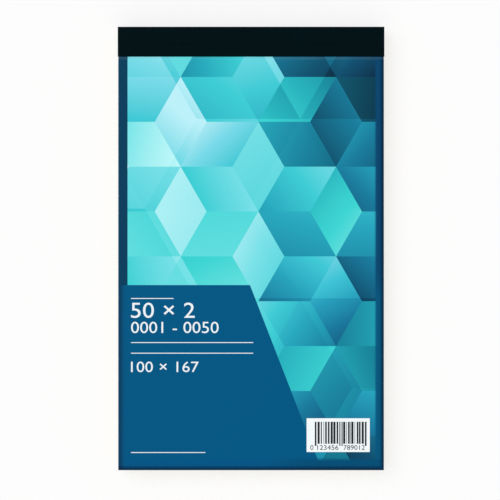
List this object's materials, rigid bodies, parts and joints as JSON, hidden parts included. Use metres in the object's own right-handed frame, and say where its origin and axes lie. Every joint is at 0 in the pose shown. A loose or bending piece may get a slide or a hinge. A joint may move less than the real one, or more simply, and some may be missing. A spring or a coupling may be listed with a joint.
{
  "type": "duplicate receipt book",
  "caption": "Top-bound pad of paired white and yellow carbonless receipt forms with a hinged printed cover, taped head, tear-off originals and a loose writing shield.",
  "frame": {"origin": "under the middle of the book, on the surface that its back lies on", "axes": "+Z out of the front cover, +Y along the length towards the taped head, +X to the reader's right"},
  "size_m": [0.1004, 0.167, 0.0098],
  "materials": {
    "cover_card": "satin",
    "book_tape": "matte",
    "label_paper": "satin",
    "white_paper": "matte",
    "yellow_paper": "matte",
    "shield_card": "matte",
    "grey_board": "matte",
    "staple_wire": "satin"
  },
  "bodies": {
    "pad": {"back_board": "grey_board", "staples": "staple_wire", "cover_strip": "cover_card", "binding_tape": "book_tape", "original_stubs": "white_paper", "copy_stubs": "yellow_paper", "copy_07": "yellow_paper", "original_08": "white_paper", "copy_08": "yellow_paper", "original_09": "white_paper", "copy_09": "yellow_paper", "original_10": "white_paper", "copy_10": "yellow_paper", "original_11": "white_paper", "copy_11": "yellow_paper", "original_12": "white_paper", "copy_12": "yellow_paper", "original_13": "white_paper", "copy_13": "yellow_paper", "original_14": "white_paper", "copy_14": "yellow_paper", "original_15": "white_paper", "copy_15": "yellow_paper", "original_16": "white_paper", "copy_16": "yellow_paper", "original_17": "white_paper", "copy_17": "yellow_paper", "original_18": "white_paper", "copy_18": "yellow_paper", "original_19": "white_paper", "copy_19": "yellow_paper", "original_20": "white_paper", "copy_20": "yellow_paper", "original_21": "white_paper", "copy_21": "yellow_paper", "original_22": "white_paper", "copy_22": "yellow_paper", "original_23_to_50": "white_paper", "copy_23_to_50": "yellow_paper"},
    "cover": {"front_cover": "cover_card", "bar_label": "label_paper"},
    "original_01": {"original_01": "white_paper"},
    "copy_01": {"copy_01": "yellow_paper"},
    "original_02": {"original_02": "white_paper"},
    "copy_02": {"copy_02": "yellow_paper"},
    "original_03": {"original_03": "white_paper"},
    "copy_03": {"copy_03": "yellow_paper"},
    "original_04": {"original_04": "white_paper"},
    "copy_04": {"copy_04": "yellow_paper"},
    "original_05": {"original_05": "white_paper"},
    "copy_05": {"copy_05": "yellow_paper"},
    "original_06": {"original_06": "white_paper"},
    "copy_06": {"copy_06": "yellow_paper"},
    "original_07": {"original_07": "white_paper"},
    "shield": {"writing_shield": "shield_card"}
  },
  "joints": [
    {"name": "cover_open", "type": "hinge", "parent": "pad", "child": "cover", "pos_m": [0, 0.07175, 0.00986], "axis": [-1, 0, 0], "range_deg": [0, 179]},
    {"name": "original_01_turn", "type": "hinge", "parent": "pad", "child": "original_01", "pos_m": [0, 0.06925, 0.00986], "axis": [-1, 0, 0], "range_deg": [0, 179]},
    {"name": "copy_01_turn", "type": "hinge", "parent": "pad", "child": "copy_01", "pos_m": [0, 0.06925, 0.00986], "axis": [-1, 0, 0], "range_deg": [0, 179]},
    {"name": "original_02_turn", "type": "hinge", "parent": "pad", "child": "original_02", "pos_m": [0, 0.06925, 0.00986], "axis": [-1, 0, 0], "range_deg": [0, 179]},
    {"name": "copy_02_turn", "type": "hinge", "parent": "pad", "child": "copy_02", "pos_m": [0, 0.06925, 0.00986], "axis": [-1, 0, 0], "range_deg": [0, 179]},
    {"name": "original_03_turn", "type": "hinge", "parent": "pad", "child": "original_03", "pos_m": [0, 0.06925, 0.00986], "axis": [-1, 0, 0], "range_deg": [0, 179]},
    {"name": "copy_03_turn", "type": "hinge", "parent": "pad", "child": "copy_03", "pos_m": [0, 0.06925, 0.00986], "axis": [-1, 0, 0], "range_deg": [0, 179]},
    {"name": "original_04_turn", "type": "hinge", "parent": "pad", "child": "original_04", "pos_m": [0, 0.06925, 0.00986], "axis": [-1, 0, 0], "range_deg": [0, 179]},
    {"name": "copy_04_turn", "type": "hinge", "parent": "pad", "child": "copy_04", "pos_m": [0, 0.06925, 0.00986], "axis": [-1, 0, 0], "range_deg": [0, 179]},
    {"name": "original_05_turn", "type": "hinge", "parent": "pad", "child": "original_05", "pos_m": [0, 0.06925, 0.00986], "axis": [-1, 0, 0], "range_deg": [0, 179]},
    {"name": "copy_05_turn", "type": "hinge", "parent": "pad", "child": "copy_05", "pos_m": [0, 0.06925, 0.00986], "axis": [-1, 0, 0], "range_deg": [0, 179]},
    {"name": "original_06_turn", "type": "hinge", "parent": "pad", "child": "original_06", "pos_m": [0, 0.06925, 0.00986], "axis": [-1, 0, 0], "range_deg": [0, 179]},
    {"name": "copy_06_turn", "type": "hinge", "parent": "pad", "child": "copy_06", "pos_m": [0, 0.06925, 0.00986], "axis": [-1, 0, 0], "range_deg": [0, 179]},
    {"name": "original_07_tear_off", "type": "slide", "parent": "pad", "child": "original_07", "axis": [0, -1, 0], "range_m": [0, 0.15475]},
    {"name": "shield_slide", "type": "slide", "parent": "pad", "child": "shield", "axis": [0, -1, 0], "range_m": [0, 0.15325]}
  ],
  "couplings": [
    {"joint": "original_01_turn", "follows": "cover_open", "ratio": 0.99302},
    {"joint": "copy_01_turn", "follows": "cover_open", "ratio": 0.98603},
    {"joint": "original_02_turn", "follows": "cover_open", "ratio": 0.97905},
    {"joint": "copy_02_turn", "follows": "cover_open", "ratio": 0.97207},
    {"joint": "original_03_turn", "follows": "cover_open", "ratio": 0.96508},
    {"joint": "copy_03_turn", "follows": "cover_open", "ratio": 0.9581},
    {"joint": "original_04_turn", "follows": "cover_open", "ratio": 0.95112},
    {"joint": "copy_04_turn", "follows": "cover_open", "ratio": 0.94413},
    {"joint": "original_05_turn", "follows": "cover_open", "ratio": 0.93715},
    {"joint": "copy_05_turn", "follows": "cover_open", "ratio": 0.93017},
    {"joint": "original_06_turn", "follows": "cover_open", "ratio": 0.92318},
    {"joint": "copy_06_turn", "follows": "cover_open", "ratio": 0.9162}
  ]
}
